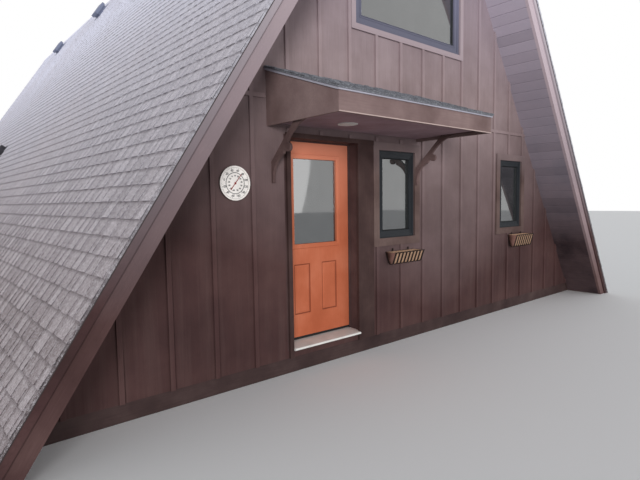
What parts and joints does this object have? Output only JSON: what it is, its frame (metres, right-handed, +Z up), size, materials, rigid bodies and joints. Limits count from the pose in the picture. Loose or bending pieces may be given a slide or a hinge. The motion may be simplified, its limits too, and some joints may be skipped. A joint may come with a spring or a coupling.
{
  "type": "a-frame cabin",
  "caption": "A-frame cabin with shingled slopes down to the ground, board-and-batten gable walls, a canopied glazed entrance door that swings, and fixed windows.",
  "frame": {"origin": "middle of the plan between the gable walls, at ground level, on the underside of the middle sleeper", "axes": "+X along the entrance wall to the right as seen from outside, +Y from the entrance wall into the house along the ridge, +Z up"},
  "size_m": [9.144, 17.849, 6.9615],
  "materials": {
    "siding_paint": "satin brown paint on plywood siding and battens",
    "trim_paint": "satin brown paint on boards",
    "fascia_paint": "satin reddish brown paint on rake boards",
    "soffit_paint": "dark brown paint on narrow boards",
    "shingle": "grey mineral-faced asphalt shingles",
    "canopy_shingle": "blue-grey mineral-faced asphalt shingles",
    "roof_timber": "bare sawn timber",
    "floor_wood": "plain varnished boards",
    "wall_lining": "plain painted wall lining",
    "ceiling_wood": "plain varnished boards",
    "door_paint": "satin orange paint",
    "frame_paint": "satin dark brown paint",
    "sill_metal": "white coated threshold",
    "glass": "clear double glazing",
    "window_metal": "charcoal powder coat",
    "lock_metal": "satin, aged",
    "hinge_metal": "satin",
    "basket_iron": "black paint",
    "coco_fibre": "pressed coconut fibre",
    "dial_white": "white enamel",
    "lamp_white": "white trim ring and lens",
    "vent_metal": "dark brown paint, matt"
  },
  "bodies": {
    "house": {"skirts": "siding_paint", "floor_beams": "roof_timber", "ground_floor": "floor_wood", "upper_floor": "floor_wood", "front_wall_left": "wall_lining", "front_wall_head": "wall_lining", "front_wall_right": "wall_lining", "front_gable_wall": "wall_lining", "rear_wall": "wall_lining", "rear_gable_wall": "wall_lining", "front_siding": "siding_paint", "rear_siding": "siding_paint", "battens": "siding_paint", "seam_bands": "siding_paint", "roof_left": "roof_timber", "roof_right": "roof_timber", "shingles_left": "shingle", "shingles_right": "shingle", "ceiling": "ceiling_wood", "soffits": "soffit_paint", "rake_fascia_left": "fascia_paint", "rake_fascia_right": "fascia_paint", "rake_trim": "fascia_paint", "ridge_cap": "shingle", "roof_vents": "vent_metal", "door_frame": "frame_paint", "door_casing": "trim_paint", "door_sill": "sill_metal", "hinges_on_jamb": "hinge_metal", "window_frames": "window_metal", "window_glass": "glass", "window_trim": "trim_paint", "canopy_roof": "roof_timber", "canopy_shingles": "canopy_shingle", "canopy_fascia": "trim_paint", "canopy_soffit": "soffit_paint", "canopy_lamp": "lamp_white", "canopy_brackets": "trim_paint", "basket_frames": "basket_iron", "basket_liners": "coco_fibre", "thermometer": "dial_white"},
    "door": {"door_leaf": "door_paint", "door_glass": "glass", "door_lockset": "lock_metal", "hinges_on_leaf": "hinge_metal"}
  },
  "joints": [
    {"name": "door_swing", "type": "hinge", "parent": "house", "child": "door", "pos_m": [-0.977, -7.947, 1.2555], "axis": [0, 0, -1], "range_deg": [0, 100]}
  ]
}
